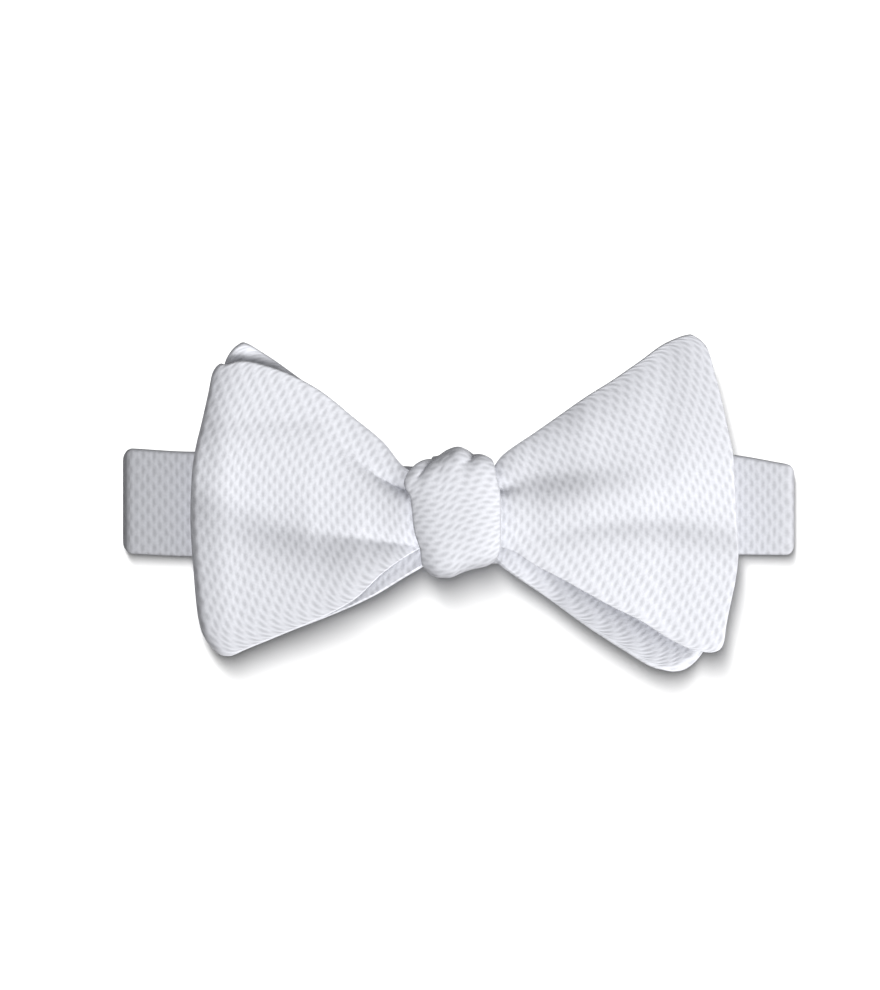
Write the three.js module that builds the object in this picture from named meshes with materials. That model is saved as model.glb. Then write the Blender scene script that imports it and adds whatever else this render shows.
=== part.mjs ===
// White piqué bow tie, tied by hand, lying face up with its neckband loop pressed flat.
// Millimetres. Seen from above, +X is to the right, +Y runs up along the knot, and +Z rises
// out of the bow's face. The origin is the middle of the flat underside.
import * as THREE from "three";

// Driving dimensions.
const CLOTH = 1.6;            // a wing layer: two plies of cotton piqué pressed together
const BAND_CLOTH = 2.2;       // the neckband is folded to more plies
const WRAP_CLOTH = 2.2;       // the stretch that goes round the knot
const LEFT_FOLD = 2.3;        // radius of the front loop's outer fold, to the middle of the cloth
const RIGHT_FOLD = 2.0;       // the same for the rear loop
const PINCH = 8;              // distance from the middle at which a wing enters the knot
const TAIL = 4;               // where the hidden end of a loop's rear layer stops, in the knot
const FOLD_STEPS = 5;         // steps round an outer fold
const FOLD_LEAD = 1 / 3;      // share of its length over which a valley grows ahead of its line
const EDGE_CROWDING = 0.55;   // how much closer rows lie at a wing's long edges, 0 for evenly
const EDGE_DROOP = 2.6;       // power with which a wing falls away toward its long edges

// Wing tables. r = distance out from the middle; low, high = the long edges' y;
// zLow, zMid, zHigh = height of the middle of the cloth at the edges and along the middle.
const FRONT_LOOP_TOP = [
  { r: 8, low: -10.4, high: 6.0, zLow: 23.4, zMid: 24.2, zHigh: 21.9 },
  { r: 13, low: -13.3, high: 8.3, zLow: 22.6, zMid: 24.4, zHigh: 21.4 },
  { r: 18, low: -16.9, high: 14.1, zLow: 20.4, zMid: 26.4, zHigh: 20.8 },
  { r: 25, low: -21.0, high: 19.9, zLow: 17.0, zMid: 27.2, zHigh: 19.8 },
  { r: 35, low: -26.6, high: 27.7, zLow: 13.2, zMid: 26.2, zHigh: 18.6 },
  { r: 45, low: -31.9, high: 32.3, zLow: 11.2, zMid: 23.4, zHigh: 17.2 },
  { r: 52, low: -35.4, high: 33.8, zLow: 10.5, zMid: 20.6, zHigh: 16.4 },
  { r: 56, low: -37.2, high: 32.8, zLow: 10.4, zMid: 18.9, zHigh: 15.9 },
  { r: 62, low: -37.2, high: 32.6, zLow: 10.5, zMid: 17.1, zHigh: 15.8 },
];
const FRONT_LOOP_BACK = [
  { r: 4, low: -12.6, high: 4.6, zLow: 20.6, zMid: 19.2, zHigh: 20.0 },
  { r: 8, low: -15.0, high: 5.2, zLow: 19.8, zMid: 18.7, zHigh: 19.5 },
  { r: 13, low: -18.0, high: 6.4, zLow: 17.0, zMid: 18.0, zHigh: 18.2 },
  { r: 20, low: -22.3, high: 13.0, zLow: 12.2, zMid: 17.3, zHigh: 17.0 },
  { r: 30, low: -27.0, high: 21.4, zLow: 8.4, zMid: 16.1, zHigh: 14.6 },
  { r: 40, low: -31.0, high: 28.0, zLow: 6.2, zMid: 14.9, zHigh: 12.4 },
  { r: 50, low: -35.1, high: 31.8, zLow: 5.7, zMid: 13.3, zHigh: 11.5 },
  { r: 56, low: -37.2, high: 32.6, zLow: 5.8, zMid: 12.7, zHigh: 11.2 },
  { r: 62, low: -37.2, high: 32.6, zLow: 5.9, zMid: 12.5, zHigh: 11.2 },
];
const FRONT_BLADE = [
  { r: 8, low: -9.4, high: 7.0, zLow: 22.4, zMid: 24.0, zHigh: 22.0 },
  { r: 10, low: -10.5, high: 10.4, zLow: 22.2, zMid: 24.0, zHigh: 20.9 },
  { r: 13, low: -11.4, high: 12.9, zLow: 21.8, zMid: 24.8, zHigh: 20.4 },
  { r: 18, low: -14.8, high: 16.3, zLow: 20.8, zMid: 26.2, zHigh: 19.8 },
  { r: 25, low: -18.5, high: 21.2, zLow: 19.2, zMid: 26.9, zHigh: 19.4 },
  { r: 35, low: -24.2, high: 27.8, zLow: 16.8, zMid: 26.9, zHigh: 18.9 },
  { r: 43, low: -28.1, high: 33.4, zLow: 15.2, zMid: 25.8, zHigh: 18.2 },
  { r: 50, low: -32.6, high: 38.3, zLow: 14.0, zMid: 24.0, zHigh: 17.2 },
  { r: 56, low: -35.4, high: 40.2, zLow: 13.2, zMid: 21.9, zHigh: 16.4 },
  { r: 61, low: -36.2, high: 40.2, zLow: 12.7, zMid: 20.0, zHigh: 15.8 },
  { r: 67, low: -36.2, high: 40.2, zLow: 12.4, zMid: 17.8, zHigh: 15.4 },
];
const REAR_BLADE = [
  { r: 8, low: -9.4, high: 5.6, zLow: 16.7, zMid: 15.2, zHigh: 16.7 },
  { r: 13, low: -10.4, high: 7.0, zLow: 15.9, zMid: 15.2, zHigh: 15.8 },
  { r: 20, low: -14.5, high: 14.0, zLow: 13.9, zMid: 15.0, zHigh: 14.6 },
  { r: 30, low: -20.4, high: 23.3, zLow: 9.6, zMid: 13.7, zHigh: 11.0 },
  { r: 40, low: -25.4, high: 31.0, zLow: 6.6, zMid: 12.5, zHigh: 7.8 },
  { r: 47, low: -28.4, high: 35.8, zLow: 5.7, zMid: 11.5, zHigh: 6.6 },
  { r: 52, low: -30.2, high: 38.3, zLow: 5.3, zMid: 10.8, zHigh: 6.0 },
  { r: 58, low: -30.8, high: 38.3, zLow: 5.3, zMid: 10.1, zHigh: 6.0 },
];
const REAR_LOOP_TOP = [
  { r: 8, low: -12.6, high: 5.4, zLow: 20.0, zMid: 17.6, zHigh: 19.0 },
  { r: 10, low: -15.0, high: 7.0, zLow: 19.6, zMid: 17.6, zHigh: 18.8 },
  { r: 13, low: -17.3, high: 9.6, zLow: 18.2, zMid: 17.6, zHigh: 18.2 },
  { r: 20, low: -22.2, high: 14.5, zLow: 14.2, zMid: 17.4, zHigh: 16.9 },
  { r: 30, low: -29.4, high: 21.0, zLow: 9.8, zMid: 16.0, zHigh: 14.7 },
  { r: 40, low: -35.8, high: 28.0, zLow: 7.5, zMid: 14.8, zHigh: 13.0 },
  { r: 47, low: -39.8, high: 32.5, zLow: 7.2, zMid: 14.1, zHigh: 12.3 },
  { r: 52, low: -41.0, high: 34.4, zLow: 7.2, zMid: 13.7, zHigh: 12.0 },
  { r: 61, low: -41.0, high: 35.0, zLow: 7.2, zMid: 13.3, zHigh: 11.6 },
];
const REAR_LOOP_BACK = [
  { r: 4, low: -9.2, high: 4.4, zLow: 16.4, zMid: 15.2, zHigh: 16.5 },
  { r: 8, low: -9.4, high: 4.8, zLow: 16.4, zMid: 15.2, zHigh: 16.5 },
  { r: 13, low: -12.6, high: 7.6, zLow: 15.8, zMid: 15.3, zHigh: 15.8 },
  { r: 20, low: -19.8, high: 12.8, zLow: 12.2, zMid: 15.0, zHigh: 14.6 },
  { r: 30, low: -27.8, high: 19.4, zLow: 7.4, zMid: 13.4, zHigh: 12.2 },
  { r: 40, low: -34.4, high: 26.4, zLow: 4.4, zMid: 11.8, zHigh: 10.2 },
  { r: 47, low: -38.6, high: 31.4, zLow: 3.4, zMid: 10.9, zHigh: 8.8 },
  { r: 52, low: -40.6, high: 33.8, zLow: 3.1, zMid: 10.3, zHigh: 8.1 },
  { r: 61, low: -41.0, high: 35.0, zLow: 3.2, zMid: 9.3, zHigh: 7.6 },
];

// Outer ends: v = share of the way from the lower to the upper edge, r = how far out.
const FRONT_LOOP_RIM = [
  { v: 0, r: 55.0 }, { v: 0.01, r: 56.7 }, { v: 0.033, r: 58.6 }, { v: 0.06, r: 60.1 },
  { v: 0.09, r: 61.2 }, { v: 0.15, r: 62.1 }, { v: 0.26, r: 62.8 }, { v: 0.49, r: 63.7 },
  { v: 0.61, r: 63.4 }, { v: 0.7, r: 62.6 }, { v: 0.8, r: 60.9 }, { v: 0.91, r: 59.1 },
  { v: 0.97, r: 58.2 }, { v: 0.99, r: 57.3 }, { v: 1, r: 56.2 },
];
const FRONT_BLADE_RIM = [
  { v: 0, r: 60.5 }, { v: 0.008, r: 62.4 }, { v: 0.03, r: 63.5 }, { v: 0.093, r: 64.2 },
  { v: 0.153, r: 65.1 }, { v: 0.228, r: 66.3 }, { v: 0.315, r: 67.0 }, { v: 0.383, r: 66.8 },
  { v: 0.51, r: 66.2 }, { v: 0.62, r: 65.7 }, { v: 0.72, r: 64.1 }, { v: 0.8, r: 62.8 },
  { v: 0.905, r: 60.7 }, { v: 0.95, r: 59.7 }, { v: 0.976, r: 58.4 }, { v: 1, r: 55.6 },
];
const REAR_BLADE_RIM = [
  { v: 0, r: 53.0 }, { v: 0.03, r: 55.8 }, { v: 0.12, r: 57.0 }, { v: 0.5, r: 57.6 },
  { v: 0.85, r: 57.0 }, { v: 0.93, r: 56.0 }, { v: 0.975, r: 54.0 }, { v: 1, r: 51.6 },
];
const REAR_LOOP_RIM = [
  { v: 0, r: 51.6 }, { v: 0.008, r: 53.6 }, { v: 0.03, r: 56.0 }, { v: 0.066, r: 58.4 },
  { v: 0.17, r: 60.8 }, { v: 0.3, r: 62.3 }, { v: 0.45, r: 62.9 }, { v: 0.6, r: 62.4 },
  { v: 0.78, r: 60.6 }, { v: 0.9, r: 58.3 }, { v: 0.97, r: 55.8 }, { v: 1, r: 53.0 },
];

// Folds that run out from the knot. from, to = the ends of the valley's line; bend = how
// far its middle is pushed up; deep, shallow = depth at the two ends; above, below = how far
// the slope reaches on each side at the knot; spread = how many times wider it ends.
const FRONT_LOOP_FOLDS = [
  { from: [8, 0.6], to: [46, 25], bend: 0.8,
    deep: 2.8, shallow: 0.6, above: 2.8, below: 2.2, spread: 2.6 },
  { from: [13, -12.4], to: [60, -6.5], bend: -0.6,
    deep: 2.5, shallow: 0.3, above: 1.5, below: 3.6, spread: 2.6 },
];
const FRONT_BLADE_FOLDS = [
  { from: [8, 2.2], to: [30, 4.5], bend: 0,
    deep: 2.4, shallow: 0, above: 1.8, below: 1.6, spread: 3.2 },
  { from: [18, -11.0], to: [68, -11.2], bend: 2.6,
    deep: 0.7, shallow: 1.7, above: 3.0, below: 5, spread: 1.3 },
  { from: [10, 8], to: [52, 31], bend: -1.5,
    deep: 1.2, shallow: 0.2, above: 2.6, below: 3, spread: 2.6 },
];
const REAR_FOLDS = [
  { from: [8, -3], to: [48, -14], bend: 0, deep: 0.2, shallow: 0.4, above: 2.6, below: 2.6, spread: 3 },
];

// Neckband: x along it; low, high = its edges' y; z = height of the upper stretch;
// curl = how far its edges turn up, where it is squeezed through the knot.
const BAND_TOP = [
  { x: -79.2, low: -12.6, high: 13.0, z: 5.2, curl: 0.0 },
  { x: -64, low: -13.2, high: 12.2, z: 6.2, curl: 0.0 },
  { x: -40, low: -13.0, high: 12.2, z: 8.8, curl: 0.0 },
  { x: -20, low: -12.7, high: 11.4, z: 11.0, curl: 0.0 },
  { x: -13, low: -11.6, high: 7.6, z: 12.0, curl: 1.0 },
  { x: -8, low: -11.0, high: 6.0, z: 12.4, curl: 1.7 },
  { x: 8, low: -11.0, high: 6.0, z: 12.4, curl: 1.7 },
  { x: 13, low: -11.6, high: 7.6, z: 12.0, curl: 1.0 },
  { x: 20, low: -12.7, high: 11.4, z: 11.0, curl: 0.0 },
  { x: 40, low: -13.0, high: 12.2, z: 8.8, curl: 0.0 },
  { x: 64, low: -12.8, high: 11.6, z: 6.2, curl: 0.0 },
  { x: 79.4, low: -12.9, high: 9.2, z: 5.2, curl: 0.0 },
];
const BAND_REACH = { left: -81.3, right: 81.3 };   // outermost points of the two folds
const BAND_CORNER = 2.2;                           // how far a fold's corners are rounded off
const BAND_FOLD_STEPS = 6;                         // steps round each of the two folds

// Knot: turn = degrees round it (0 top side, 90 face, 180 lower side, 270 back);
// left, right = its two edges there.
const KNOT_EDGES = [
  { turn: 0, left: -6.2, right: 7.4 }, { turn: 30, left: -10.6, right: 8.2 },
  { turn: 60, left: -12.9, right: 8.8 }, { turn: 90, left: -10.9, right: 9.8 },
  { turn: 120, left: -8.9, right: 9.7 }, { turn: 150, left: -8.5, right: 8.8 },
  { turn: 180, left: -6.0, right: 6.6 }, { turn: 225, left: -7.2, right: 7.2 },
  { turn: 270, left: -7.6, right: 7.6 }, { turn: 315, left: -7.2, right: 7.2 },
  { turn: 360, left: -6.2, right: 7.4 },
];
const KNOT_OUTLINE = [
  { x: -13, top: 8.2, bottom: -14.6 }, { x: -9.4, top: 10.1, bottom: -15.6 },
  { x: -6.2, top: 11.0, bottom: -17.6 }, { x: -4.7, top: 11.2, bottom: -18.2 },
  { x: -2.3, top: 12.7, bottom: -18.2 }, { x: -0.2, top: 13.3, bottom: -17.3 },
  { x: 1.7, top: 12.6, bottom: -16.6 }, { x: 3.4, top: 11.5, bottom: -16.1 },
  { x: 4.9, top: 11.6, bottom: -15.8 }, { x: 6.9, top: 10.7, bottom: -15.3 },
  { x: 9.9, top: 8.9, bottom: -13.8 },
];
const KNOT_BACK = 8.8;        // outer face of the wrap's back
const KNOT_FACE = 29.6;       // outer face of the wrap's front
const KNOT_ROUNDNESS = { face: 2.6, back: 3.4 };   // 2 is an ellipse, more is squarer
const KNOT_EDGE_ROLL = 1.3;   // how far the face's two edges roll in
const KNOT_ROLL_POWER = 5;    // how near to the edges the roll stays
const DENT_FADE = { before: 30, after: 25 };       // degrees over which a dent fades at its ends
// Dents in the face: from, to = [x, turn] of the dent's line.
const KNOT_DENTS = [
  { from: [-5.6, 8], to: [-9.4, 62], depth: 1.1, width: 1.3 },
  { from: [3.2, 6], to: [0.6, 66], depth: 0.9, width: 1.4 },
  { from: [-2.8, 10], to: [-1.2, 50], depth: 0.5, width: 1.0 },
];

// Functions that read the tables.
const clamp = (value, low, high) => Math.min(high, Math.max(low, value));
const smooth = (value) => { const t = clamp(value, 0, 1); return t * t * (3 - 2 * t); };
const mix = (a, b, t) => a + (b - a) * t;

// Smooth curve through a table's rows: no row is overshot, so edges stay where they are given.
function read(table, key, column, at) {
  const last = table.length - 1;
  const t = clamp(at, table[0][key], table[last][key]);
  let row = 0;
  while (row < last - 1 && t > table[row + 1][key]) row += 1;
  const slope = (i) => (table[i + 1][column] - table[i][column]) / (table[i + 1][key] - table[i][key]);
  const tangent = (i) => {
    if (i === 0) return slope(0);
    if (i === last) return slope(last - 1);
    const a = slope(i - 1), b = slope(i);
    return a * b <= 0 ? 0 : (2 * a * b) / (a + b);
  };
  const span = table[row + 1][key] - table[row][key];
  const s = (t - table[row][key]) / span;
  const a = table[row][column], b = table[row + 1][column];
  return a * (1 + 2 * s) * (1 - s) ** 2 + b * s * s * (3 - 2 * s)
    + span * (tangent(row) * s * (1 - s) ** 2 - tangent(row + 1) * s * s * (1 - s));
}

function foldDepth(folds, r, y) {
  let depth = 0;
  for (const fold of folds) {
    const s = (r - fold.from[0]) / (fold.to[0] - fold.from[0]);
    const t = clamp(s, 0, 1);
    const line = mix(fold.from[1], fold.to[1], t) + fold.bend * 4 * t * (1 - t);
    const reach = (y > line ? fold.above : fold.below) * mix(1, fold.spread, t);
    const strength = mix(fold.deep, fold.shallow, smooth(t)) * smooth(1 + s / FOLD_LEAD);
    depth += strength * Math.exp(-(((y - line) / reach) ** 2));
  }
  return depth;
}

// Point of a wing layer: side is -1 for the left wing and 1 for the right one.
function layerPoint(table, folds, side, r, v) {
  const low = read(table, "r", "low", r), high = read(table, "r", "high", r);
  const y = mix(low, high, v);
  const across = 2 * v - 1;
  const edge = read(table, "r", across < 0 ? "zLow" : "zHigh", r);
  const droop = Math.abs(across) ** EDGE_DROOP;
  const z = mix(read(table, "r", "zMid", r), edge, droop) - foldDepth(folds, r, y);
  return [side * r, y, z];
}

// Columns of points of one layer, from the distance start out to the rim (less the fold).
function layer(table, folds, side, start, rim, inset, columns, shares) {
  return Array.from({ length: columns + 1 }, (_, column) => shares.map((v) => {
    const end = read(rim, "v", "r", v) - inset;
    return layerPoint(table, folds, side, mix(start, end, column / columns), v);
  }));
}

// Rounded outer fold from the upper layer's last column down to the lower layer's.
function outerFold(upper, lower, side, radius) {
  return Array.from({ length: FOLD_STEPS - 1 }, (_, step) => {
    const turn = (Math.PI * (step + 1)) / FOLD_STEPS;
    return upper.map((top, i) => {
      const bottom = lower[i];
      const half = (1 - Math.cos(turn)) / 2;
      const reach = radius * Math.sin(turn);
      return [mix(top[0], bottom[0], half) + side * reach, mix(top[1], bottom[1], half),
        mix(top[2], bottom[2], half)];
    });
  });
}

// Shares across a wing, closer together toward its two long edges.
const sharesAcross = (count) => Array.from({ length: count }, (_, i) => {
  const t = i / (count - 1);
  return mix(t, (1 - Math.cos(Math.PI * t)) / 2, EDGE_CROWDING);
});

// Solids.

// Gives a grid of middle points (columns along, rows across) its thickness and closes it.
function thicken(name, grid, thickness, loops, look) {
  const columns = grid.length, rows = grid[0].length;
  const wrapped = (c) => (loops ? (c + columns) % columns : clamp(c, 0, columns - 1));
  const at = (c, r) => new THREE.Vector3(...grid[wrapped(c)][clamp(r, 0, rows - 1)]);
  const upper = [], lower = [];
  for (let c = 0; c < columns; c += 1) {
    for (let r = 0; r < rows; r += 1) {
      const along = at(c + 1, r).sub(at(c - 1, r));
      const over = at(c, r + 1).sub(at(c, r - 1));
      const out = along.cross(over).normalize().multiplyScalar(thickness / 2);
      upper.push(at(c, r).add(out));
      lower.push(at(c, r).sub(out));
    }
  }
  const points = [...upper, ...lower];
  const top = (c, r) => (c % columns) * rows + r;
  const under = (c, r) => upper.length + top(c, r);
  const faces = [];
  const quad = (a, b, c, d) => faces.push(a, b, c, a, c, d);
  const lastColumn = loops ? columns : columns - 1;
  for (let c = 0; c < lastColumn; c += 1) {
    for (let r = 0; r < rows - 1; r += 1) {
      quad(top(c, r), top(c + 1, r), top(c + 1, r + 1), top(c, r + 1));
      quad(under(c, r), under(c, r + 1), under(c + 1, r + 1), under(c + 1, r));
    }
    quad(under(c, 0), under(c + 1, 0), top(c + 1, 0), top(c, 0));
    quad(top(c, rows - 1), top(c + 1, rows - 1), under(c + 1, rows - 1), under(c, rows - 1));
  }
  if (!loops) {
    for (let r = 0; r < rows - 1; r += 1) {
      quad(under(0, r), top(0, r), top(0, r + 1), under(0, r + 1));
      quad(top(columns - 1, r), under(columns - 1, r), under(columns - 1, r + 1), top(columns - 1, r + 1));
    }
  }
  const geometry = new THREE.BufferGeometry();
  const places = points.flatMap((p) => p.toArray());
  geometry.setAttribute("position", new THREE.Float32BufferAttribute(places, 3));
  geometry.setIndex(faces);
  geometry.computeVertexNormals();
  const mesh = new THREE.Mesh(geometry, new THREE.MeshStandardMaterial(look));
  mesh.name = name;
  return mesh;
}

const PIQUE = { color: 0xeeeff2, roughness: 0.85, metalness: 0 };

// One half of the bow: the loop's back and face, the pinch in the knot, then the blade.
function halfBow(name, loop, blade, rows) {
  const shares = sharesAcross(rows);
  const back = layer(loop.back, [], loop.side, TAIL, loop.rim, loop.fold, loop.backColumns, shares);
  const face = layer(loop.top, loop.folds, loop.side, PINCH, loop.rim, loop.fold, loop.topColumns, shares);
  const turn = outerFold(face[face.length - 1], back[back.length - 1], loop.side, loop.fold).reverse();
  const end = layer(blade.table, blade.folds, -loop.side, PINCH, blade.rim, 0, blade.columns, shares);
  const path = [...back, ...turn, ...[...face].reverse(), ...end];
  return thicken(name, path, CLOTH, false, PIQUE);
}

function neckband() {
  const rows = [0, 0.25, 0.5, 0.75, 1];
  const leftEnd = BAND_TOP[0].x, rightEnd = BAND_TOP[BAND_TOP.length - 1].x;
  const row = (x, z, curl, pull) => rows.map((v) => {
    const low = read(BAND_TOP, "x", "low", x) + pull, high = read(BAND_TOP, "x", "high", x) - pull;
    return [x, mix(low, high, v), z + curl * (2 * v - 1) ** 2];
  });
  // The stretch on the surface runs plainly from one fold to the other.
  const flatRow = (share) => rows.map((v, i) => {
    const from = row(rightEnd, 0, 0, 0)[i], to = row(leftEnd, 0, 0, 0)[i];
    return [mix(from[0], to[0], share), mix(from[1], to[1], share), BAND_CLOTH / 2];
  });
  const path = [];
  const upperSteps = 34, underSteps = 6;
  for (let i = 0; i <= upperSteps; i += 1) {
    const x = mix(leftEnd, rightEnd, i / upperSteps);
    path.push(row(x, read(BAND_TOP, "x", "z", x), read(BAND_TOP, "x", "curl", x), 0));
  }
  const foldAt = (x, reach, down) => {
    const height = read(BAND_TOP, "x", "z", x), floor = BAND_CLOTH / 2;
    for (let step = 1; step < BAND_FOLD_STEPS; step += 1) {
      const turn = (Math.PI * (down ? step : BAND_FOLD_STEPS - step)) / BAND_FOLD_STEPS;
      const z = mix(floor, height, (1 + Math.cos(turn)) / 2);
      const out = Math.sin(turn);
      const shift = (reach - Math.sign(reach) * BAND_CLOTH / 2 - x) * out;
      path.push(row(x, z, 0, BAND_CORNER * out ** 2).map((p) => [p[0] + shift, p[1], p[2]]));
    }
  };
  foldAt(rightEnd, BAND_REACH.right, true);
  for (let i = 0; i <= underSteps; i += 1) path.push(flatRow(i / underSteps));
  foldAt(leftEnd, BAND_REACH.left, false);
  return thicken("neckband", path, BAND_CLOTH, true, PIQUE);
}

function knotWrap() {
  const around = 44, across = 11;
  const middle = (KNOT_BACK + KNOT_FACE) / 2;
  const rise = (KNOT_FACE - KNOT_BACK - WRAP_CLOTH) / 2;
  const path = [];
  for (let i = 0; i < around; i += 1) {
    const turn = (360 * i) / around;
    const power = 2 / (turn < 180 ? KNOT_ROUNDNESS.face : KNOT_ROUNDNESS.back);
    const round = (value) => Math.sign(value) * Math.abs(value) ** power;
    const c = round(Math.cos((turn * Math.PI) / 180)), s = round(Math.sin((turn * Math.PI) / 180));
    const left = read(KNOT_EDGES, "turn", "left", turn), right = read(KNOT_EDGES, "turn", "right", turn);
    const column = [];
    for (let j = 0; j < across; j += 1) {
      const share = j / (across - 1);
      const x = mix(left, right, share);
      const top = read(KNOT_OUTLINE, "x", "top", x), bottom = read(KNOT_OUTLINE, "x", "bottom", x);
      const half = (top - bottom - WRAP_CLOTH) / 2;
      let dent = 0;
      for (const d of KNOT_DENTS) {
        const t = clamp((turn - d.from[1]) / (d.to[1] - d.from[1]), 0, 1);
        const line = mix(d.from[0], d.to[0], t);
        const fade = smooth((turn - d.from[1] + DENT_FADE.before) / DENT_FADE.before)
          * smooth((d.to[1] + DENT_FADE.after - turn) / (2 * DENT_FADE.after));
        dent += d.depth * fade * Math.exp(-(((x - line) / d.width) ** 2));
      }
      const roll = s > 0 ? KNOT_EDGE_ROLL * s * Math.abs(2 * share - 1) ** KNOT_ROLL_POWER : 0;
      column.push([x, (top + bottom) / 2 + (half - dent) * c, middle + (rise - dent - roll) * s]);
    }
    path.push(column);
  }
  return thicken("knot_wrap", path, WRAP_CLOTH, true, PIQUE);
}

const bow = new THREE.Group();
bow.name = "bow_tie";
bow.add(
  neckband(),
  halfBow("front_bow", {
    side: -1, top: FRONT_LOOP_TOP, back: FRONT_LOOP_BACK, folds: FRONT_LOOP_FOLDS, rim: FRONT_LOOP_RIM,
    fold: LEFT_FOLD, topColumns: 18, backColumns: 12,
  }, { table: FRONT_BLADE, folds: FRONT_BLADE_FOLDS, rim: FRONT_BLADE_RIM, columns: 19 }, 22),
  halfBow("rear_bow", {
    side: 1, top: REAR_LOOP_TOP, back: REAR_LOOP_BACK, folds: REAR_FOLDS, rim: REAR_LOOP_RIM,
    fold: RIGHT_FOLD, topColumns: 13, backColumns: 10,
  }, { table: REAR_BLADE, folds: [], rim: REAR_BLADE_RIM, columns: 11 }, 15),
  knotWrap(),
);

export default bow;
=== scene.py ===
# %% [markdown]
# # A white bow tie, tied by hand and laid face up
# The real thing is one long strip of white cotton piqué, two plies thick. It widens, narrows
# and widens again toward its end, so that once it is tied each half of the bow is a folded
# loop on one side and a single flat blade on the other, pinched where the knot goes round.
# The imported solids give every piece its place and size. They stay hidden for contact, and
# each cloth piece below stands in for one of them with finer folds, edges and weave.

import math

import bpy
import numpy as np
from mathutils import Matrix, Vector


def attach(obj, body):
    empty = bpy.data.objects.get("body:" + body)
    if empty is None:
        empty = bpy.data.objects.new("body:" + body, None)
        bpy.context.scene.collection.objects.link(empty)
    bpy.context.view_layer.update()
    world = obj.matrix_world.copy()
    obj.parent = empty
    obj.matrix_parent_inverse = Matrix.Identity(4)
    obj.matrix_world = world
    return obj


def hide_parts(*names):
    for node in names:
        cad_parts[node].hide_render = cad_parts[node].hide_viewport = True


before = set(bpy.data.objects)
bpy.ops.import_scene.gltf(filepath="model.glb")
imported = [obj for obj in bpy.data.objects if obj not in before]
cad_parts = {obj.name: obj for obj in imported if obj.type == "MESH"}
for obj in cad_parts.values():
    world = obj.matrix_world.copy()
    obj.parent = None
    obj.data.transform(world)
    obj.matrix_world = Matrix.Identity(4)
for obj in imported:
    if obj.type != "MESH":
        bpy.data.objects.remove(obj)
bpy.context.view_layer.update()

# %% [markdown]
# ## The camera
# The tie was photographed from straight above. A long lens, more than a metre up, keeps the
# high knot and the low neckband at nearly the same scale. The camera hangs over the middle
# of the picture, not over the middle of the tie, so it needs no shift.

# %% Hang the camera over the tie
MM = 0.001
PICTURE_MM = 240.6          # the picture's longer side, at the height of the surface
LENS, SENSOR = 200.0, 36.0
camera_data = bpy.data.cameras.new("overhead_camera")
camera_data.lens, camera_data.sensor_width = LENS, SENSOR
camera = bpy.data.objects.new("overhead_camera", camera_data)
camera.location = (-4.5 * MM, 1.64 * MM, PICTURE_MM * MM * LENS / SENSOR)
bpy.context.scene.collection.objects.link(camera)
bpy.context.scene.camera = camera
print("camera height: %.3f m" % camera.location.z)

# %% [markdown]
# ## Reading a wing from a short table
# A wing is a fan of cloth. At any distance r from the middle it has a lower and an upper
# edge, and a height along each edge and along its middle. A table with one row per station
# holds these, and a smooth curve through the rows gives every place between them. The curve
# never overshoots a row, so an edge measured in the photograph stays where it was measured.

# %% Read a table smoothly
def table(columns, *rows):
    return {name: np.array([row[i] for row in rows], float)
            for i, name in enumerate(columns.split())}


def read(rows, column, at):
    places, values = next(iter(rows.values())), rows[column]
    at = np.clip(np.asarray(at, float), places[0], places[-1])
    slope = np.diff(values) / np.diff(places)
    before, after = slope[:-1], slope[1:]
    tangent = np.concatenate([slope[:1], np.where(
        before * after <= 0, 0, 2 * before * after / np.where(before + after == 0, 1, before + after)),
        slope[-1:]])
    i = np.clip(np.searchsorted(places, at, side="right") - 1, 0, len(places) - 2)
    span = places[i + 1] - places[i]
    s = (at - places[i]) / span
    return (values[i] * (1 + 2 * s) * (1 - s) ** 2 + values[i + 1] * s * s * (3 - 2 * s)
            + span * (tangent[i] * s * (1 - s) ** 2 - tangent[i + 1] * s * s * (1 - s)))


def smooth(t):
    t = np.clip(t, 0, 1)
    return t * t * (3 - 2 * t)


def mix(a, b, t):
    return a + (b - a) * t


STATION = "r low high z_low z_mid z_high"
front_loop_face = table(
    STATION,
    (8, -10.4, 6.0, 23.6, 24.1, 23.6), (13, -13.3, 8.3, 24.4, 24.3, 22.1),
    (18, -16.9, 14.1, 24.6, 24.0, 20.8), (25, -23.4, 19.9, 24.0, 24.0, 20.8),
    (35, -28.7, 27.7, 22.2, 23.7, 22.6), (45, -32.8, 32.3, 20.3, 23.2, 24.0),
    (52, -35.8, 33.8, 19.0, 22.8, 24.4), (56, -37.2, 32.8, 18.0, 22.6, 23.8),
    (62, -37.2, 32.6, 15.8, 20.8, 20.4))
front_loop_back = table(
    STATION,
    (4, -12.6, 4.6, 20.2, 19.3, 19.8), (8, -15.0, 5.2, 20.4, 18.8, 19.6),
    (13, -18.0, 6.4, 20.0, 18.4, 17.8), (20, -22.3, 13.0, 19.2, 17.6, 17.0),
    (30, -27.0, 21.4, 15.6, 16.6, 17.6), (40, -31.0, 28.0, 10.4, 14.7, 18.9),
    (50, -35.1, 31.8, 8.0, 14.0, 21.6), (56, -37.2, 32.6, 7.6, 13.9, 21.4),
    (62, -37.2, 32.6, 7.4, 13.8, 17.4))
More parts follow.
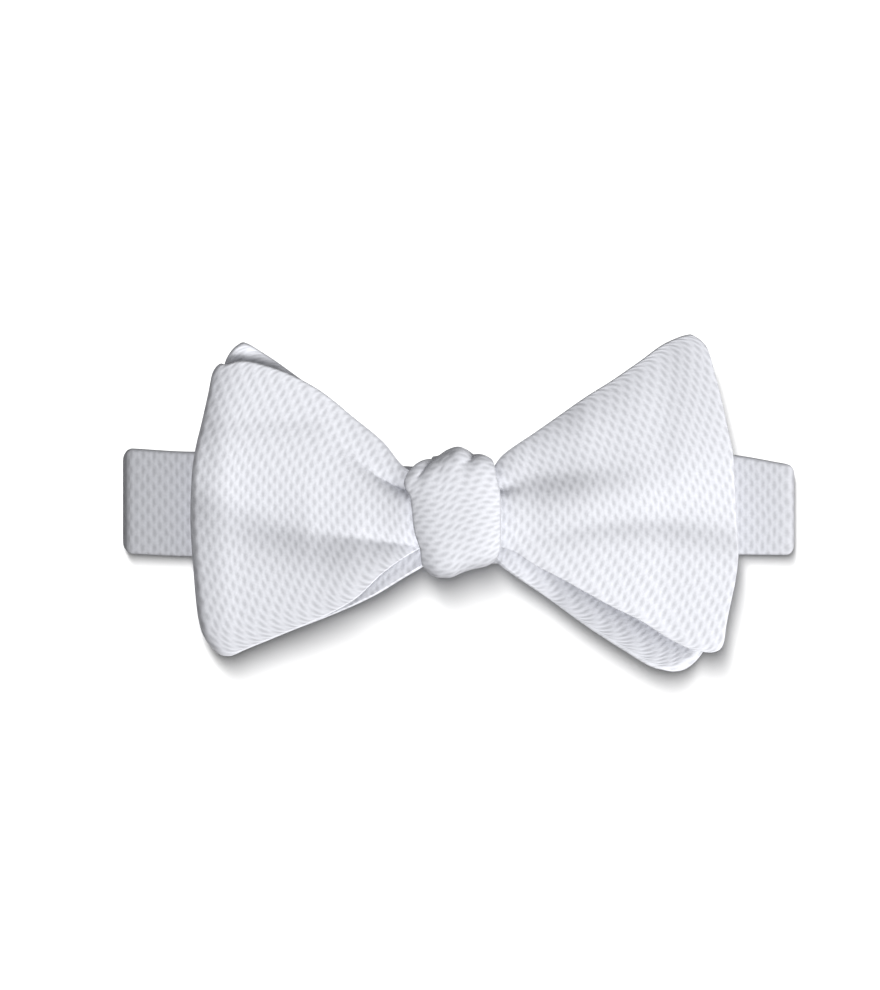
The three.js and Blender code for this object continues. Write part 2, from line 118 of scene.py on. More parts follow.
front_blade = table(
    STATION,
    (8, -9.4, 7.0, 22.4, 24.0, 22.2), (10, -10.5, 10.4, 22.2, 23.9, 21.4),
    (13, -11.4, 12.9, 22.6, 23.8, 20.6), (18, -14.8, 16.3, 22.6, 23.4, 20.0),
    (25, -18.5, 21.2, 22.5, 23.7, 20.2), (31, -21.9, 25.4, 22.2, 24.0, 20.8),
    (37, -25.2, 29.2, 21.7, 23.8, 20.7), (43, -28.1, 33.4, 21.3, 23.4, 20.6),
    (50, -32.6, 38.3, 20.3, 22.5, 20.1), (56, -35.4, 40.2, 19.9, 22.2, 20.5),
    (61, -36.2, 40.2, 19.5, 21.8, 20.5), (67, -36.2, 40.2, 18.9, 21.1, 20.1))
rear_blade = table(
    STATION,
    (8, -9.4, 5.6, 16.4, 15.2, 16.6), (13, -10.4, 7.0, 15.1, 14.9, 15.6),
    (20, -14.5, 14.0, 13.3, 13.9, 14.4), (30, -20.4, 23.3, 10.7, 13.3, 14.7),
    (40, -25.4, 31.0, 8.4, 12.4, 15.8), (47, -28.4, 35.8, 7.3, 11.9, 19.6),
    (52, -30.2, 38.3, 6.7, 11.6, 21.9), (58, -30.8, 38.3, 6.5, 11.5, 22.2))
rear_loop_face = table(
    STATION,
    (8, -12.6, 5.4, 19.5, 17.6, 18.5), (10, -15.0, 7.0, 19.3, 17.7, 18.3),
    (13, -17.3, 9.6, 18.9, 18.0, 18.1), (20, -22.2, 14.5, 18.0, 18.0, 16.6),
    (30, -29.4, 21.0, 19.8, 18.4, 14.8), (40, -35.8, 28.0, 20.6, 18.3, 13.3),
    (47, -39.8, 32.5, 20.0, 17.9, 12.3), (52, -41.0, 34.4, 19.2, 17.3, 11.7),
    (61, -41.0, 35.0, 17.4, 16.1, 11.1))
rear_loop_back = table(
    STATION,
    (4, -9.2, 4.4, 16.1, 15.2, 16.0), (8, -9.4, 4.8, 16.3, 15.3, 16.1),
    (13, -12.6, 7.6, 15.9, 15.4, 15.7), (20, -19.8, 12.8, 12.0, 14.6, 14.2),
    (30, -27.8, 19.4, 7.2, 12.8, 11.6), (40, -34.4, 26.4, 4.3, 11.2, 9.5),
    (47, -38.6, 31.4, 3.2, 10.2, 8.2), (52, -40.6, 33.8, 2.8, 9.7, 7.6),
    (61, -41.0, 35.0, 2.8, 9.2, 7.4))
print("tallest station:", max(np.max(t["high"] - t["low"]) for t in (front_blade, rear_loop_face)), "mm")

# %% [markdown]
# ## The outer ends
# A loop's outer end is a soft fold and a blade's is a cut, sewn edge. Both bow outward a
# little and round off at their corners. v is the share of the way up the end.

# %% Where each wing ends
front_loop_rim = table(
    "v r", (0, 55.0), (0.01, 56.7), (0.033, 58.6), (0.06, 60.1), (0.09, 61.2), (0.15, 62.1),
    (0.26, 62.8), (0.49, 63.7), (0.61, 63.4), (0.7, 62.6), (0.8, 60.9), (0.91, 59.1),
    (0.97, 58.2), (0.99, 57.3), (1, 56.2))
front_blade_rim = table(
    "v r", (0, 60.5), (0.008, 62.4), (0.03, 63.5), (0.093, 64.2), (0.153, 65.1), (0.228, 66.3),
    (0.315, 67.0), (0.383, 66.8), (0.51, 66.2), (0.62, 65.7), (0.72, 64.1), (0.8, 62.8),
    (0.905, 60.7), (0.95, 59.7), (0.976, 58.4), (1, 55.6))
rear_blade_rim = table(
    "v r", (0, 53.0), (0.03, 55.8), (0.12, 57.0), (0.5, 57.6), (0.85, 57.0), (0.93, 56.0),
    (0.975, 54.0), (1, 51.6))
rear_loop_rim = table(
    "v r", (0, 51.6), (0.008, 53.6), (0.03, 56.0), (0.066, 58.4), (0.17, 60.8), (0.3, 62.3),
    (0.45, 62.9), (0.6, 62.4), (0.78, 60.6), (0.9, 58.3), (0.97, 55.8), (1, 53.0))
print("bow's reach:", front_loop_rim["r"].max(), "mm left,", front_blade_rim["r"].max(), "mm right")

# %% [markdown]
# ## Folds that run out of the knot
# The knot squeezes some 40 mm of cloth into 20 mm, so valleys run outward from it and fade.
# Each row is one valley: where its line starts and ends, how far its middle is pushed up,
# how deep it is at both ends and how much deeper between them, how far its two slopes
# reach, how many times wider it ends, and its cusp: 1 is a sharp crease and 2 a rounded
# valley. A negative depth is a ridge.

# %% The valleys and ridges of each layer
FOLD = "r0 y0 r1 y1 bend deep swell shallow above below spread cusp"
LEAD_IN = 3                 # a valley grows in over 1 / LEAD_IN of its length, ahead of its line
front_loop_folds = table(
    FOLD,
    (12.5, 2.3, 33, 19.0, -2.6, 3.0, 0, 0.5, 5.5, 0.9, 3.5, 1),
    (10, -10.6, 36, -7.0, 0, 2.0, 1.5, 0.3, 6.0, 4.2, 1.3, 1),
    (24, -9.6, 60, 3.6, -1.2, 0.3, 1.8, 2.4, 8.5, 6.0, 1.2, 2))
front_blade_folds = table(
    FOLD,
    (6, 1.9, 17, 3.5, 0, 1.6, 0, 0, 1.4, 0.7, 2, 2),
    (12, 6.0, 52, 10.4, 0, 1.2, 1.5, 0, 8.0, 4.4, 1.5, 2),
    (22, -7.4, 68, -7.0, 3.4, 0.3, 0.6, 1.5, 6.5, 2.8, 1.8, 2))
rear_folds = table(
    FOLD,
    (12, -11.2, 58, -36.2, 0, 0.4, 3.4, 6.4, 8.0, 4.2, 2.0, 1))
rear_blade_folds = table(
    FOLD,
    (40, 32, 54, 37, 0, -0.4, 0, -1.6, 8.0, 3.4, 1, 2))


def pressed(folds, r, y):
    """How far the folds push each point down."""
    down = np.zeros_like(r)
    for r0, y0, r1, y1, bend, deep, swell, shallow, above, below, spread, cusp in zip(*folds.values()):
        s = (r - r0) / (r1 - r0)
        t = np.clip(s, 0, 1)
        line = mix(y0, y1, t) + bend * 4 * t * (1 - t)
        reach = np.where(y > line, above, below) * mix(1, spread, t)
        strength = (mix(deep, shallow, smooth(t)) + swell * 4 * t * (1 - t)) * smooth(1 + LEAD_IN * s)
        down += strength * np.exp(-(np.abs(y - line) / reach) ** cusp)
    return down


no_folds = table(FOLD)
print("valleys:", len(front_loop_folds["r0"]), "left,", len(front_blade_folds["r0"]), "right")

# %% [markdown]
# ## From the table to a grid of points
# A grid with columns along the strip and rows across it suits cloth: its lines follow the
# threads, so it gives both the shape and, later, the weave's own coordinates. Toward its
# long edges a wing falls away faster than in its middle.

# %% Points of one layer
EDGE_DROOP = 2.6


def layer_at(rows, folds, side, r, v):
    y = mix(read(rows, "low", r), read(rows, "high", r), v)
    across = 2 * v - 1
    low, middle, high = (read(rows, name, r) for name in ("z_low", "z_mid", "z_high"))
    droop = ((high + low) / 2 - middle) * np.abs(across) ** EDGE_DROOP
    z = middle + (high - low) / 2 * across + droop
    return np.stack([side * r, y, z - pressed(folds, r, y)], axis=-1)


def layer(rows, folds, side, start, rim, inset, columns, shares):
    end = read(rim, "r", shares) - inset
    t = np.linspace(0, 1, columns + 1)[:, None]
    r = start + (end[None, :] - start) * t
    return layer_at(rows, folds, side, r, np.broadcast_to(shares[None, :], r.shape))


FOLD_FLATNESS = 0.4         # a pressed fold reaches out less than half of its height


def fold_reach(face, back, rim, shares):
    end = read(rim, "r", shares)
    heights = [layer_at(leaf, no_folds, 1, end, shares)[:, 2] for leaf in (face, back)]
    return FOLD_FLATNESS * (heights[0] - heights[1]) / 2


def outer_fold(upper, lower, side, reach, steps):
    turn = (np.pi * np.arange(1, steps) / steps)[:, None, None]
    points = mix(upper[None], lower[None], (1 - np.cos(turn)) / 2)
    points[..., 0] += side * reach * np.sin(turn[..., 0])
    return points


EDGE_CROWDING = 0.55        # how much closer the rows lie at the long edges, 0 for evenly


def across_shares(count):
    t = np.linspace(0, 1, count)
    return mix(t, (1 - np.cos(np.pi * t)) / 2, EDGE_CROWDING)


# %% [markdown]
# ## Cloth coordinates
# The weave must follow the cloth round folds and fan out with the wing, so each grid point
# also gets its place on the flat strip: the length along the strip, and the length across
# it from the middle. Near the knot more cloth is packed into less width.

# %% Lengths along and across the strip
def lengths_across(points):
    steps = np.linalg.norm(np.diff(points, axis=1), axis=2)
    return np.concatenate([np.zeros((len(points), 1)), np.cumsum(steps, axis=1)], axis=1)


def cloth_places(points, packed, flip):
    middle = points.shape[1] // 2
    steps = np.linalg.norm(np.diff(points[:, middle], axis=0), axis=1)
    along = np.concatenate([[0], np.cumsum(steps)])
    over = lengths_across(points)
    over = (over - over[:, middle:middle + 1]) * packed[:, None]
    along = np.broadcast_to(along[:, None] * (-1 if flip else 1), over.shape)
    return np.stack([along, over], axis=-1)


# %% [markdown]
# ## The run of the threads
# Cloth that is pinched in the middle keeps its threads nearly parallel, so they spread less
# than the wing's edges do. On the right wing they also lean a little, where it was pulled.

# %% Shift the coordinates to the threads
FAN = 0.4                   # the threads spread this share of what the wing's edges do
FAN_START = 16              # mm from the middle; nearer than this they spread no faster


def grain(places, points, lean):
    along, over = places[..., 0], places[..., 1]
    x = points[..., 0]
    spread = FAN / 2 * np.sign(x) * over ** 2 / np.maximum(np.abs(x), FAN_START)
    middle = places[:, places.shape[1] // 2, 0]
    drift = np.concatenate([[0], np.cumsum(lean[1:] * np.diff(middle))])[:, None]
    return np.stack([along + spread + lean[:, None] * over, over - drift], axis=-1)


# %% [markdown]
# ## A sheet becomes a cloth piece
# The grid becomes a mesh with two UV maps, in metres: the cloth coordinates, and how far
# each point is from the strip's two long edges, where the seams lie. Solidify gives it the
# thickness of the pressed plies, and a subdivision rounds its edges the way a turned and
# pressed seam is rounded.

# %% Make the mesh and finish it
ROUNDING_LEVELS = 1


def from_the_edges(points):
    over = lengths_across(points)
    return np.stack([over, over[:, -1:] - over], axis=-1)


def cloth_piece(name, points, places, thickness, closed=False):
    columns, rows = points.shape[:2]
    index = np.arange(columns * rows).reshape(columns, rows)
    rims = from_the_edges(points)
    if closed:
        index = np.concatenate([index, index[:1]])
        wrap = places[-1] + (places[-1] - places[-2])
        wrap[:, 1] = places[0, :, 1]
        places = np.concatenate([places, wrap[None]])
        rims = np.concatenate([rims, rims[:1]])
    faces, coords, margins = [], [], []
    for c in range(len(index) - 1):
        for r in range(rows - 1):
            corners = ((c, r), (c + 1, r), (c + 1, r + 1), (c, r + 1))
            faces.append([int(index[k]) for k in corners])
            coords.extend(places[k] for k in corners)
            margins.extend(rims[k] for k in corners)
    mesh = bpy.data.meshes.new(name)
    mesh.from_pydata((points.reshape(-1, 3) * MM).tolist(), [], faces)
    for layer_name, values in (("cloth", coords), ("margins", margins)):
        uv = mesh.uv_layers.new(name=layer_name)
        uv.data.foreach_set("uv", (np.array(values) * MM).ravel())
    mesh.update()
    piece = bpy.data.objects.new(name, mesh)
    bpy.context.scene.collection.objects.link(piece)
    bpy.ops.object.select_all(action="DESELECT")
    bpy.context.view_layer.objects.active = piece
    piece.select_set(True)
    wall = piece.modifiers.new("plies", "SOLIDIFY")
    wall.thickness, wall.offset, wall.use_even_offset = thickness * MM, 0, False
    bpy.ops.object.modifier_apply(modifier=wall.name)
    round_off = piece.modifiers.new("rounding", "SUBSURF")
    round_off.levels = round_off.render_levels = ROUNDING_LEVELS
    bpy.ops.object.modifier_apply(modifier=round_off.name)
    bpy.ops.object.shade_smooth()
    print(name, "faces:", len(piece.data.polygons))
    return piece


def flat_size(places):
    length = np.ptp(places[:, :, 0])
    width = np.ptp(places[:, :, 1], axis=1)
    area = float(np.sum(width[:-1] * np.abs(np.diff(places[:, 0, 0]))))
    return (float(width.max()) * MM, float(length) * MM), area * MM * MM


# %% [markdown]
# ## The two halves of the bow
# Each half is one piece of cloth. Its path starts in the knot, runs out as the loop's back,
# turns round the outer fold, comes back as the loop's face, passes through the knot, and
# runs out on the other side as the flat blade. Building it as one strip keeps the pinch
# and the fold continuous, which two separate leaves could not do.

# %% Build a half of the bow
PINCH, TAIL = 8, 4
CLOTH = 1.6
PACKED_AT_KNOT = 1.15       # cloth width for each visible width, where the knot squeezes it
SPREAD_OUT_AFTER = 35       # mm beyond the pinch, where the cloth lies at its full width
RIGHT_WING_LEAN = 0.14      # slope of the threads there, from the photograph


def half_bow(name, loop, blade, rows_across, columns):
    shares = across_shares(rows_across)
    reach = fold_reach(loop["face"], loop["back"], loop["rim"], shares)
    side, rim = loop["side"], loop["rim"]
    back = layer(loop["back"], no_folds, side, TAIL, rim, reach, columns["back"], shares)
    face = layer(loop["face"], loop["folds"], side, PINCH, rim, reach, columns["face"], shares)
    turn = outer_fold(face[-1], back[-1], side, reach, columns["turn"])[::-1]
    end = layer(blade["table"], blade["folds"], -side, PINCH, blade["rim"], 0, columns["blade"], shares)
    t = np.linspace(0, 1, columns["pinch"] + 1)[1:-1, None, None]
    pinch = mix(face[0][None], end[0][None], t)
    points = np.concatenate([back, turn, face[::-1], pinch, end])
    middle_x = points[:, rows_across // 2, 0]
    away = np.abs(middle_x)
    packed = mix(PACKED_AT_KNOT, 1, np.clip((away - PINCH) / SPREAD_OUT_AFTER, 0, 1))
    places = cloth_places(points, packed, flip=side > 0)
    lean = RIGHT_WING_LEAN * smooth(middle_x / PINCH)
    return cloth_piece(name, points, grain(places, points, lean), CLOTH), places


front_bow, front_places = half_bow(
    "front_bow_cloth",
    dict(side=-1, face=front_loop_face, back=front_loop_back, folds=front_loop_folds,
         rim=front_loop_rim),
    dict(table=front_blade, folds=front_blade_folds, rim=front_blade_rim),
    58, dict(back=34, turn=7, face=44, pinch=9, blade=46))
rear_bow, rear_places = half_bow(
    "rear_bow_cloth",
    dict(side=1, face=rear_loop_face, back=rear_loop_back, folds=rear_folds,
         rim=rear_loop_rim),
    dict(table=rear_blade, folds=rear_blade_folds, rim=rear_blade_rim),
    52, dict(back=34, turn=7, face=40, pinch=9, blade=34))
print("front half's flat size:", flat_size(front_places), "rear half's:", flat_size(rear_places))

# %% [markdown]
# ## The neckband
# The band is a closed loop of more plies, pressed flat: one stretch lies on the surface,
# two tight folds turn it back, and the upper stretch climbs to the knot and is squeezed
# through it. It could be a bent box, but a grid along its path keeps its weave running
# round the folds.

# %% Build the neckband
BAND_CLOTH, BAND_CORNER = 2.2, 2.2
BAND_REACH = (-81.3, 81.3)
BAND_ROWS, BAND_TOP_COLUMNS, BAND_UNDER_COLUMNS, BAND_FOLD_STEPS = 21, 111, 81, 10
band_top = table(
    "x low high z curl",
    (-79.2, -12.6, 13.0, 8.2, 0.0), (-64, -13.2, 12.2, 7.4, 0.0),
    (-40, -13.0, 12.2, 8.0, 0.0), (-20, -12.7, 11.4, 10.4, 0.0),
    (-13, -11.6, 7.6, 11.6, 0.7), (-8, -10.8, 6.0, 12.4, 1.3), (8, -10.7, 6.0, 12.4, 1.4),
    (13, -11.6, 7.6, 11.7, 0.8), (20, -12.7, 11.4, 10.5, 0.0), (40, -13.0, 12.2, 8.1, 0.0),
    (64, -12.8, 11.6, 7.4, 0.0), (79.4, -12.9, 9.2, 8.2, 0.0))
band_under = table(
    "x low high",
    (-79.2, -12.6, 13.0), (-64, -13.2, 12.0), (-30, -14.8, 9.6), (0, -15.2, 8.4), (30, -14.4, 9.2),
    (64, -12.8, 11.0), (79.4, -12.9, 9.2))


def band_row(x, z, curl, pull, shares, edges=band_top):
    low, high = read(edges, "low", x) + pull, read(edges, "high", x) - pull
    return np.stack([np.full_like(shares, x), mix(low, high, shares),
                     z + curl * (2 * shares - 1) ** 2], axis=-1)


def neckband_points():
    shares = np.linspace(0, 1, BAND_ROWS)
    left, right = band_top["x"][0], band_top["x"][-1]
    path = [band_row(x, read(band_top, "z", x), read(band_top, "curl", x), 0, shares)
            for x in np.linspace(left, right, BAND_TOP_COLUMNS)]

    def turn(x, reach, angles):
        for angle in angles:
            z = mix(BAND_CLOTH / 2, read(band_top, "z", x), (1 + math.cos(angle)) / 2)
            out = math.sin(angle)
            row = band_row(x, z, 0, BAND_CORNER * out ** 2, shares)
            row[:, 0] += (reach - math.copysign(BAND_CLOTH / 2, reach) - x) * out
            path.append(row)

    inner = np.linspace(0, np.pi, BAND_FOLD_STEPS + 1)[1:-1]
    turn(right, BAND_REACH[1], inner)
    path.extend(band_row(x, BAND_CLOTH / 2, 0, 0, shares, band_under)
                for x in np.linspace(right, left, BAND_UNDER_COLUMNS))
    turn(left, BAND_REACH[0], inner[::-1])
    return np.array(path)


band_points = neckband_points()
band_places = cloth_places(band_points, np.ones(len(band_points)), flip=False)
neckband = cloth_piece("neckband_cloth", band_points, band_places, BAND_CLOTH, closed=True)
print("neckband's flat size:", flat_size(band_places))

# %% [markdown]
# ## The knot
# The last stretch of the strip goes once round the pinched bow and the neckband. From
# above it is a puckered block, wider at its upper left, with dents along its top where the
# cloth is drawn in. It is a ring of cloth: columns go round it, rows run from its left edge
# to its right edge.

# %% Build the knot
WRAP_CLOTH = 2.2
KNOT_BACK, KNOT_FACE = 8.8, 29.6
KNOT_ROUNDNESS = {"face": 4.2, "back": 3.4}
KNOT_EDGE_ROLL, KNOT_ROLL_POWER = 2.0, 3.5
KNOT_COLUMNS, KNOT_ROWS = 96, 27
KNOT_THREAD_SLANT = 0.29    # the strip crosses the knot at a slant
DENT_START, DENT_END = 30, 25       # degrees over which a dent fades before and after its line
knot_edges = table(
    "turn left right",
    (0, -6.2, 7.4), (30, -10.6, 8.2), (60, -12.9, 8.8), (90, -10.9, 9.8), (120, -8.9, 9.7),
    (150, -8.5, 8.8), (180, -6.0, 6.6), (225, -7.2, 7.2), (270, -7.6, 7.6), (315, -7.2, 7.2),
    (360, -6.2, 7.4))
knot_outline = table(
    "x top bottom",
    (-13, 8.2, -14.6), (-9.4, 10.1, -15.6), (-6.2, 11.0, -17.6), (-4.7, 11.2, -18.2),
    (-2.3, 12.7, -18.2), (-0.2, 13.3, -17.3), (1.7, 12.6, -16.6), (3.4, 11.5, -16.1),
    (4.9, 11.6, -15.8), (6.9, 10.7, -15.3), (9.9, 8.9, -13.8))
knot_dents = table(
    "x0 turn0 x1 turn1 depth width",
    (-5.6, 8, -9.4, 62, 1.1, 1.3), (3.2, 6, 0.6, 66, 0.9, 1.4), (-2.8, 10, -1.2, 50, 0.5, 1.0))


def knot_points(around, across):
    turn = np.linspace(0, 360, around, endpoint=False)[:, None]
    share = np.linspace(0, 1, across)[None, :]
    power = 2 / np.where(turn < 180, KNOT_ROUNDNESS["face"], KNOT_ROUNDNESS["back"])
    c, s = np.cos(np.radians(turn)), np.sin(np.radians(turn))
    c, s = np.sign(c) * np.abs(c) ** power, np.sign(s) * np.abs(s) ** power
    x = mix(read(knot_edges, "left", turn), read(knot_edges, "right", turn), share)
    top, bottom = read(knot_outline, "top", x), read(knot_outline, "bottom", x)
    dent = np.zeros_like(x)
    for x0, turn0, x1, turn1, depth, width in zip(*knot_dents.values()):
        line = mix(x0, x1, np.clip((turn - turn0) / (turn1 - turn0), 0, 1))
        fade = (smooth((turn - turn0 + DENT_START) / DENT_START)
                * smooth((turn1 + DENT_END - turn) / (2 * DENT_END)))
        dent += depth * fade * np.exp(-((x - line) / width) ** 2)
    roll = np.where(s > 0, KNOT_EDGE_ROLL * s * np.abs(2 * share - 1) ** KNOT_ROLL_POWER, 0)
    rise = (KNOT_FACE - KNOT_BACK - WRAP_CLOTH) / 2
    y = (top + bottom) / 2 + ((top - bottom - WRAP_CLOTH) / 2 - dent) * c
    z = (KNOT_BACK + KNOT_FACE) / 2 + (rise - dent - roll) * s
    return np.stack([x, y, z], axis=-1)


wrap_points = knot_points(KNOT_COLUMNS, KNOT_ROWS)
wrap_places = cloth_places(wrap_points, np.ones(len(wrap_points)), flip=False)
slanted = wrap_places + KNOT_THREAD_SLANT * wrap_places[..., ::-1] * (1, -1)
knot = cloth_piece("knot_cloth", wrap_points, slanted, WRAP_CLOTH, closed=True)
print("knot's flat size:", flat_size(wrap_places))

# %% [markdown]
# ## Shader arithmetic
# A weave is arithmetic on the cloth coordinates. Wrapping a socket in a small class lets it
# be written as plain expressions: each operator adds one Math node and gives back its result.

# %% Sockets that can be added and multiplied
class Wave:
    def __init__(self, maker, socket):
        self.maker, self.socket = maker, socket

    def math(self, operation, *values):
        return self.maker.add("ShaderNodeMath", {"operation": operation}, dict(enumerate(values)))

    def __add__(self, other): return self.math("ADD", self, other)
    def __radd__(self, other): return self.math("ADD", other, self)
    def __sub__(self, other): return self.math("SUBTRACT", self, other)
    def __rsub__(self, other): return self.math("SUBTRACT", other, self)
    def __mul__(self, other): return self.math("MULTIPLY", self, other)
    def __rmul__(self, other): return self.math("MULTIPLY", other, self)
    def __truediv__(self, other): return self.math("DIVIDE", self, other)
    def __rtruediv__(self, other): return self.math("DIVIDE", other, self)
    def cosine(self): return self.math("COSINE", self)
    def exponent(self): return self.math("EXPONENT", self)


class Maker:
    """Adds nodes to one material."""

    def __init__(self, name):
        self.material = bpy.data.materials.new(name)
        self.material.use_nodes = True
        self.tree = self.material.node_tree
        self.tree.nodes.clear()

    def add(self, kind, settings=None, sockets=None, output=0):
        node = self.tree.nodes.new(kind)
        for key, value in (settings or {}).items():
            setattr(node, key, value)
        for key, value in (sockets or {}).items():
            if isinstance(value, Wave):
                self.tree.links.new(value.socket, node.inputs[key])
            else:
                node.inputs[key].default_value = value
        return Wave(self, node.outputs[output])

    def uv(self, name):
        """The two coordinates of a UV map, and both together."""
        both = self.add("ShaderNodeUVMap", {"uv_map": name})
        split = self.tree.nodes.new("ShaderNodeSeparateXYZ")
        self.tree.links.new(both.socket, split.inputs[0])
        return Wave(self, split.outputs[0]), Wave(self, split.outputs[1]), both

    def surface(self, shader):
        output = self.tree.nodes.new("ShaderNodeOutputMaterial")
        self.tree.links.new(shader.socket, output.inputs["Surface"])


# %% [markdown]
# ## Piqué
# Piqué is a double weave whose surface shows small raised grains in a staggered lattice,
# one every 2.8 mm along the strip and every 3.7 mm across it, each leaning a little. Three
# cosine waves in the right directions add up to just that lattice. One sum drives the bump.
# A second one paints shade into the colour of the hollows between the grains, and this
# painted shade reads as short dark dashes. Noise bends the rows a little, because hand-tied
# cloth is never even, and a thin line of painted shadow follows the seam along each upper
# edge.

# %% Make the piqué finish
REPEAT_ALONG, REPEAT_ACROSS = 2.77, 3.72
BEND_ALONG, BEND_ACROSS = 0.3, 0.24         # how far noise shifts the rows, in repeats
RAISED = (0.42, 0.32, 0.12)                 # weights of the three waves in the bump
# The next weights paint shade into the hollows between the grains: the dark dashes.
PAINTED_HOLLOW_SHADE = (0.36, 0.28, 0.4)                  # and in the dark dashes
THREADS_ALONG, THREADS_ACROSS, THREAD_RELIEF = 8, 11, 0.06
FIBRE_RELIEF, FIBRE_SHADE, CLOUD_SHADE = 0.6, 1.1, 0.5
# SEAM_SHADE sets how dark the painted shadow is along the seam of each upper edge.
SEAM_MARGIN, SEAM_WIDTH, SEAM_SHADE = 0.35, 0.35, 1.6       # the first two in mm
LIGHTEST_AT, DARKEST_AT = -0.6, 1.0         # sums at which the tint is full and fully shaded


def waved(waves, weights):
    return waves[0] * weights[0] + waves[1] * weights[1] + waves[2] * weights[2]


def pique(name, tint=(0.79, 0.8, 0.85), relief=0.05, shade=0.25):
    make = Maker(name)
    flat_along, flat_across, place = make.uv("cloth")

    def noise(scale, detail):
        return make.add("ShaderNodeTexNoise", {"noise_dimensions": "2D"},
                        {"Vector": place, "Scale": scale, "Detail": detail}) - 0.5

    wander, fibre, cloud = noise(160.0, 2.0), noise(1900.0, 3.0), noise(45.0, 3.0)
    along = flat_along * (1 / (REPEAT_ALONG * MM)) + wander * BEND_ALONG
    across = flat_across * (1 / (REPEAT_ACROSS * MM)) + wander * BEND_ACROSS
    turn = 2 * math.pi
    waves = (((along + across) * turn).cosine(), ((along - across) * turn).cosine(),
             (along * (2 * turn)).cosine())
    threads = ((along * (turn * THREADS_ALONG)).cosine()
               + (across * (turn * THREADS_ACROSS)).cosine()) * THREAD_RELIEF
    height = threads + fibre * FIBRE_RELIEF - waved(waves, RAISED)
    # A thin line of painted shadow just inside each upper edge, where the turned seam casts shade.
    from_upper_edge = make.uv("margins")[1] * (1 / MM)
    off_seam = (from_upper_edge - SEAM_MARGIN) / SEAM_WIDTH
    painted_seam_shadow = (off_seam * off_seam * -1.0).exponent() * SEAM_SHADE
    # Painted shade in the hollows and along each upper seam, plus random fibre and cloud mottling.
    shading = waved(waves, PAINTED_HOLLOW_SHADE) + fibre * FIBRE_SHADE + cloud * CLOUD_SHADE + painted_seam_shadow
    tone = make.add("ShaderNodeMapRange", {"clamp": True},
                    {"Value": shading, "From Min": LIGHTEST_AT, "From Max": DARKEST_AT,
                     "To Min": 1.0, "To Max": 0.0})
    # The tint of the painted shade, for the hollows and the seam line.
    painted_shade_tint = [c * (1 - shade) for c in tint]
    colour = make.add("ShaderNodeMix", {"data_type": "RGBA"},
                      {0: tone, 6: (*painted_shade_tint, 1), 7: (*tint, 1)}, output=2)
    bump = make.add("ShaderNodeBump", None, {"Strength": 1.0, "Distance": relief * MM, "Height": height})
    make.surface(make.add("ShaderNodeBsdfPrincipled", None,
                          {"Base Color": colour, "Roughness": 0.85, "Normal": bump,
                           "Specular IOR Level": 0.25, "Sheen Weight": 0.15, "Sheen Roughness": 0.5}))
    return make.material


white_pique = pique("white_pique")
for piece in (front_bow, rear_bow, neckband, knot):
    piece.data.materials.append(white_pique)
print("finish:", white_pique.name)

# %% [markdown]
# ## Standing in for the solids
# Every piece rides on the one body of the tie and hides the solid that it stands for.

cloth_pieces = (
    (neckband, "neckband", "neckband_cloth", band_places, []),
    (front_bow, "front_bow", "bow_cloth", front_places, ["knot_cloth"]),
    (rear_bow, "rear_bow", "rear_bow_cloth", rear_places, ["neckband_cloth"]),
    (knot, "knot_wrap", "knot_cloth", wrap_places, ["front_bow_cloth"]),
)
for piece, node, slot, places, carried_by in cloth_pieces:
    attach(piece, "root")
    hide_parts(node)

# %% [markdown]
# ## Surface and light
# The tie lies on a plain white surface that is brighter than the cloth. Light linking gives
# each lamp its own receivers, so the surface's lamp can't flatten the cloth. A low lamp at
# the lower right models the folds of the bow, and a large weak one overhead fills them.
# Only the bow blocks the low lamp, and the knot has its own, because the knot's hard shadow
# on the wings doesn't show in the photograph. The neckband lies in the bow's shade and has
# a small lamp of its own too.

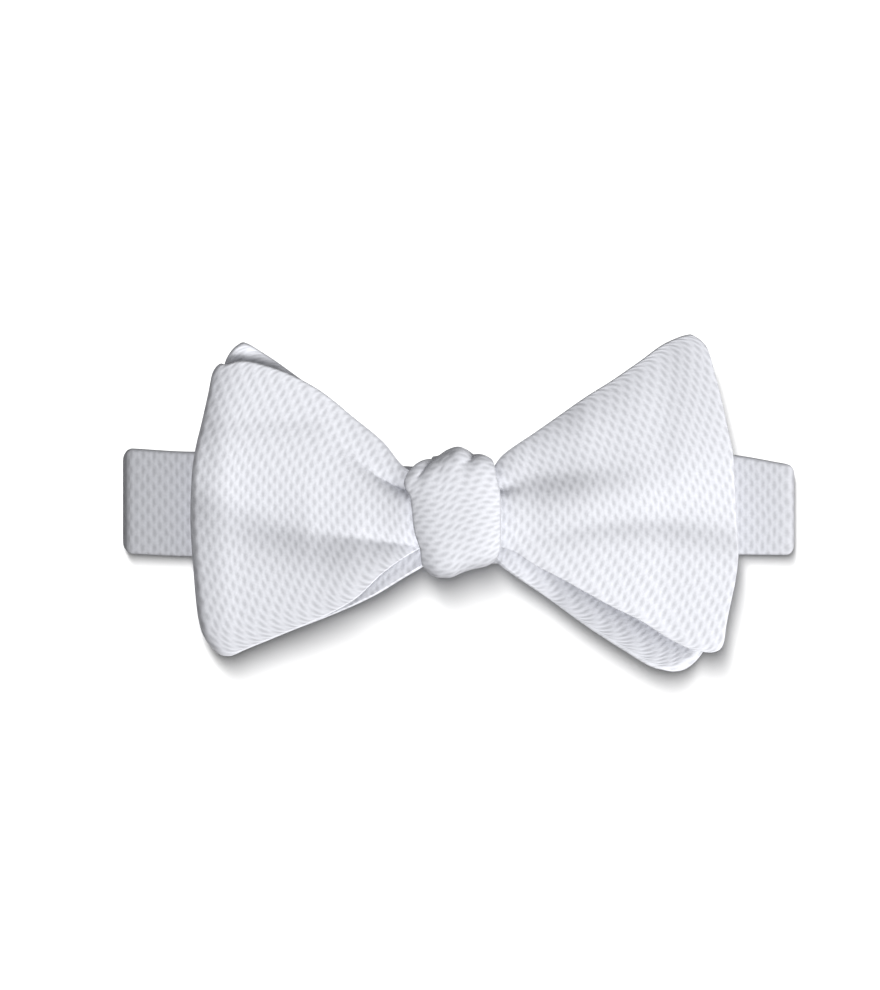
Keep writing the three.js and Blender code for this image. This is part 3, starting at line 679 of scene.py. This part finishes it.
# %% Make the surface
floor_make = Maker("white_surface")
floor_make.surface(floor_make.add(
    "ShaderNodeBsdfPrincipled", None,
    {"Base Color": (0.9, 0.9, 0.9, 1), "Roughness": 0.9, "Specular IOR Level": 0.1}))
bpy.ops.object.select_all(action="DESELECT")
bpy.ops.mesh.primitive_plane_add(size=3.0, location=(0, 0, 0))
floor = bpy.context.object
floor.name = "surface"
floor.data.materials.append(floor_make.material)
SURFACE_GAP = 0.2           # mm below the tie, so that the two faces don't coincide
for corner in floor.data.vertices:
    corner.co.z = -SURFACE_GAP * MM
floor.visible_diffuse = False       # an over-lit surface must not light the cloth from below
print("surface:", tuple(floor.dimensions))


# %% Hang the lamps
def receivers(name, objects):
    group = bpy.data.collections.new(name)
    for each in objects:
        group.objects.link(each)
    return group


def soft_light(name, place, size, power, lit, shading=None):
    lamp_data = bpy.data.lights.new(name, "AREA")
    lamp_data.shape, lamp_data.size, lamp_data.size_y = "RECTANGLE", size[0], size[1]
    lamp_data.energy = power
    lamp = bpy.data.objects.new(name, lamp_data)
    lamp.location = place
    lamp.rotation_euler = Vector(place).to_track_quat("Z", "Y").to_euler()
    lamp.light_linking.receiver_collection = lit
    if shading:
        lamp.light_linking.blocker_collection = shading
    bpy.context.scene.collection.objects.link(lamp)


on_tie = receivers("lit_cloth", [front_bow, rear_bow, knot])
on_bow = receivers("lit_bow", [front_bow, rear_bow])
on_band = receivers("lit_band", [neckband])
on_knot = receivers("lit_knot", [knot])
on_surface = receivers("lit_surface", [floor])
soft_light("low_light", (1.5, -1.55, 1.5), (1.5, 1.5), 84, on_bow, on_bow)
soft_light("overhead_light", (0.1, 0.0, 1.7), (1.6, 1.6), 9, on_tie)
soft_light("band_light", (0.26, -0.1, 0.36), (0.15, 0.15), 1.6, on_band, on_band)
soft_light("knot_light", (1.5, -0.5, 1.8), (1.5, 1.5), 55, on_knot)
soft_light("surface_light", (-0.1, 0.32, 1.35), (0.22, 0.66), 27, on_surface)
world = bpy.data.worlds.new("studio")
world.use_nodes = True
background = world.node_tree.nodes["Background"]
background.inputs["Color"].default_value = (1, 1, 1, 1)
background.inputs["Strength"].default_value = 0.2
bpy.context.scene.world = world
bpy.context.scene.view_settings.view_transform = "Standard"
